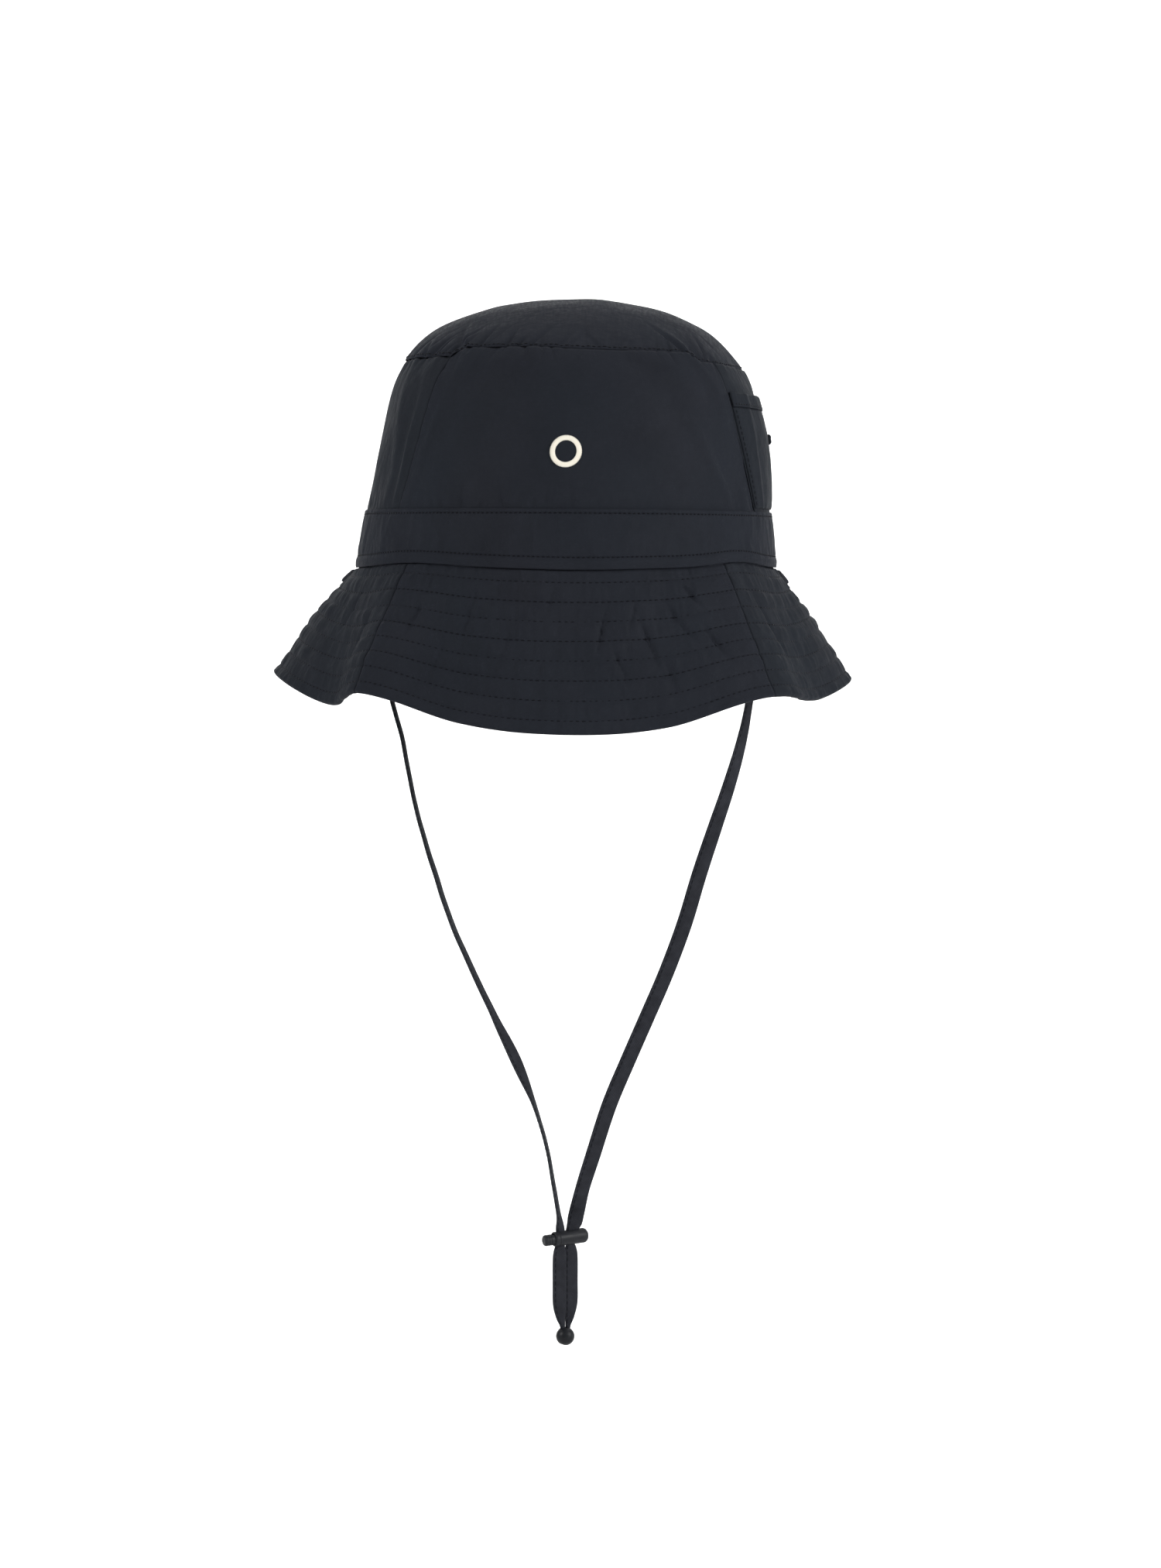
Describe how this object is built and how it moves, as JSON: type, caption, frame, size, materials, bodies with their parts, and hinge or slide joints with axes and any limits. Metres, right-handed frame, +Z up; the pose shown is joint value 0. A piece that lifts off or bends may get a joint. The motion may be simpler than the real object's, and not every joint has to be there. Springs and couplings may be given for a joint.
{
  "type": "bucket hat",
  "caption": "Soft bucket hat with a stitched flared brim, a side pocket, and a hanging chin strap with a sliding barrel toggle and an end bead.",
  "frame": {"origin": "middle of the head opening, in the plane of the seam between crown and brim", "axes": "+Z up through the crown, the front of the hat faces -Y, +X is the wearer's left (the pocket's side)"},
  "size_m": [0.2536, 0.2352, 0.46],
  "materials": {
    "shell_fabric": "plain-woven nylon with a soft satin sheen",
    "lining_fabric": "fine matt lining",
    "interlining": "matt nonwoven stiffener",
    "sweatband_fabric": "matt brushed knit",
    "label_fabric": "smooth satin ribbon",
    "emblem_thread": "satin-stitched thread",
    "strap_fabric": "folded woven strap, edge-stitched",
    "toggle_plastic": "fine moulded satin",
    "bead_plastic": "smooth satin",
    "spring_steel": "drawn wire"
  },
  "bodies": {
    "hat": {"crown_tip_panel": "shell_fabric", "crown_front_panel": "shell_fabric", "crown_right_panel": "shell_fabric", "crown_back_panel": "shell_fabric", "crown_left_panel": "shell_fabric", "crown_band": "shell_fabric", "pocket_panel": "shell_fabric", "pocket_hem": "shell_fabric", "pocket_tab": "shell_fabric", "brim_upper_front": "shell_fabric", "brim_upper_right": "shell_fabric", "brim_upper_back": "shell_fabric", "brim_upper_left": "shell_fabric", "brim_under_front": "shell_fabric", "brim_under_right": "shell_fabric", "brim_under_back": "shell_fabric", "brim_under_left": "shell_fabric", "brim_interlining": "interlining", "lining_wall": "lining_fabric", "lining_tip": "lining_fabric", "sweatband": "sweatband_fabric", "care_label": "label_fabric", "front_emblem": "emblem_thread", "chin_strap_back": "strap_fabric"},
    "strap": {"chin_strap_right": "strap_fabric", "chin_strap_left": "strap_fabric", "end_bead": "bead_plastic"},
    "toggle": {"toggle_barrel": "toggle_plastic", "toggle_spring": "spring_steel"},
    "plunger": {"toggle_plunger": "toggle_plastic"}
  },
  "joints": [
    {"name": "chin_strap_swing", "type": "hinge", "parent": "hat", "child": "strap", "pos_m": [0, 0, -0.009], "axis": [1, 0, 0], "range_deg": [-30, 30]},
    {"name": "toggle_slide", "type": "slide", "parent": "strap", "child": "toggle", "axis": [0, 0, -1], "range_m": [0, 0.026]},
    {"name": "plunger_press", "type": "slide", "parent": "toggle", "child": "plunger", "axis": [0.8893, 0.4531, 0.0611], "range_m": [0, 0.0022], "stiffness_N_per_m": 500, "springref_m": -0.002, "deforming": ["toggle_spring"]}
  ]
}
